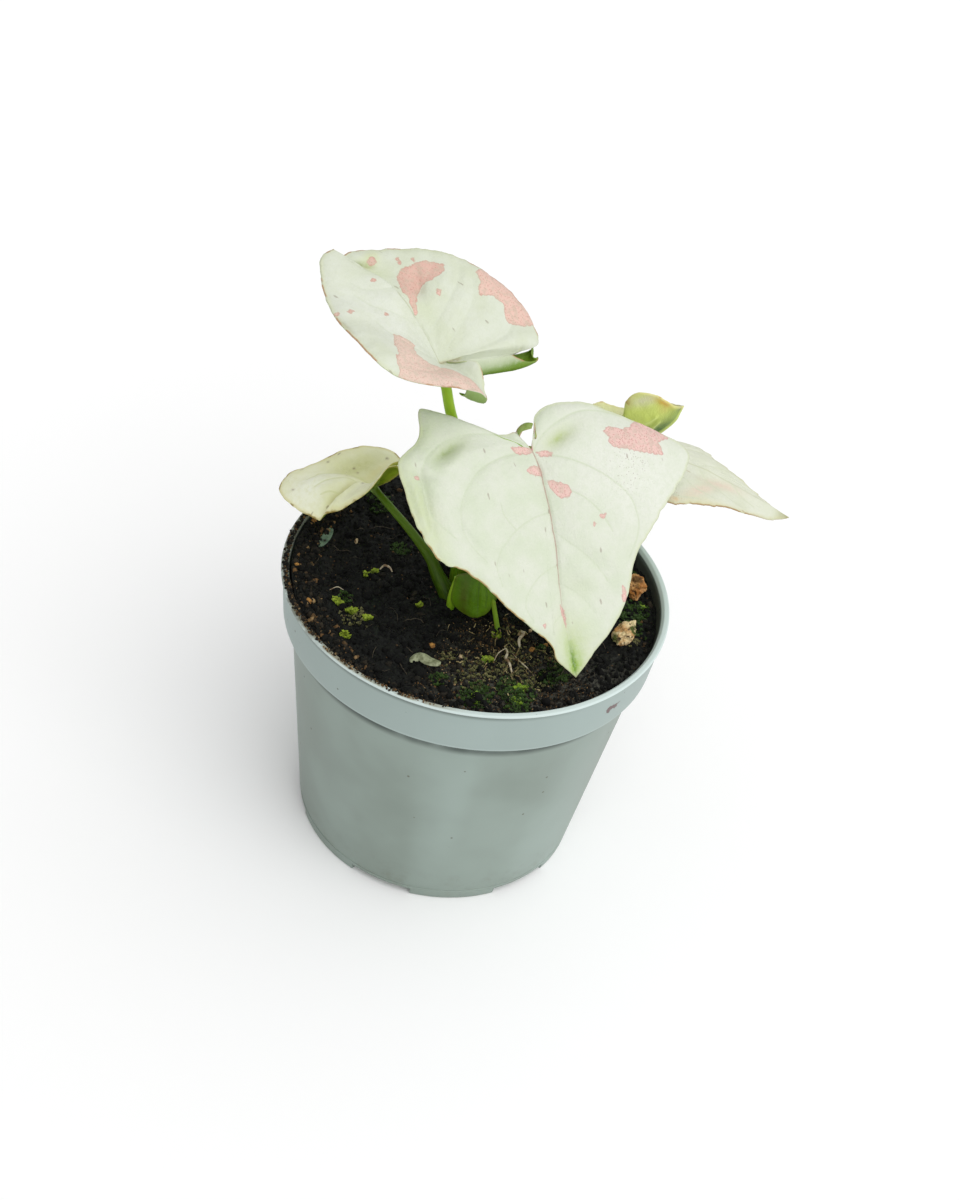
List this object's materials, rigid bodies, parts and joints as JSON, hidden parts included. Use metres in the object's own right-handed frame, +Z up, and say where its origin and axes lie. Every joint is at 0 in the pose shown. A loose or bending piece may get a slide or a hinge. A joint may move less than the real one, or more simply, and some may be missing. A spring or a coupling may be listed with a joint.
{
  "type": "potted arrowhead plant",
  "caption": "Young arrowhead plant with pale, pink-blotched arrow-shaped leaves on thin green stalks, growing in dark soil in a small collared nursery pot.",
  "frame": {"origin": "middle of the pot's flat base, on the surface that the pot stands on", "axes": "+Z up along the pot's axis; -Y is the plant's front, where the large leaf hangs over the rim; +X is to the right seen from the front"},
  "size_m": [0.0907, 0.07, 0.1144],
  "materials": {
    "pot_plastic": "satin",
    "soil": "matte",
    "green_stem": "satin",
    "pale_leaf": "satin",
    "cream_leaf": "satin",
    "green_leaf": "satin",
    "bark": "matte",
    "litter": "matte"
  },
  "bodies": {
    "root": {"pot": "pot_plastic", "potting_soil": "soil", "crown_stem": "green_stem", "front_leaf_blade": "pale_leaf", "front_leaf_petiole": "green_stem", "top_leaf_blade": "pale_leaf", "top_leaf_petiole": "green_stem", "left_leaf_blade": "cream_leaf", "left_leaf_petiole": "green_stem", "right_leaf_blade": "cream_leaf", "right_leaf_petiole": "green_stem", "back_leaf_blade": "green_leaf", "back_leaf_petiole": "green_stem", "sheath_leaf": "green_leaf", "young_shoot": "green_stem", "bark_chip_rear": "bark", "bark_chip_front": "bark", "leaf_litter_flake": "litter"}
  },
  "joints": []
}
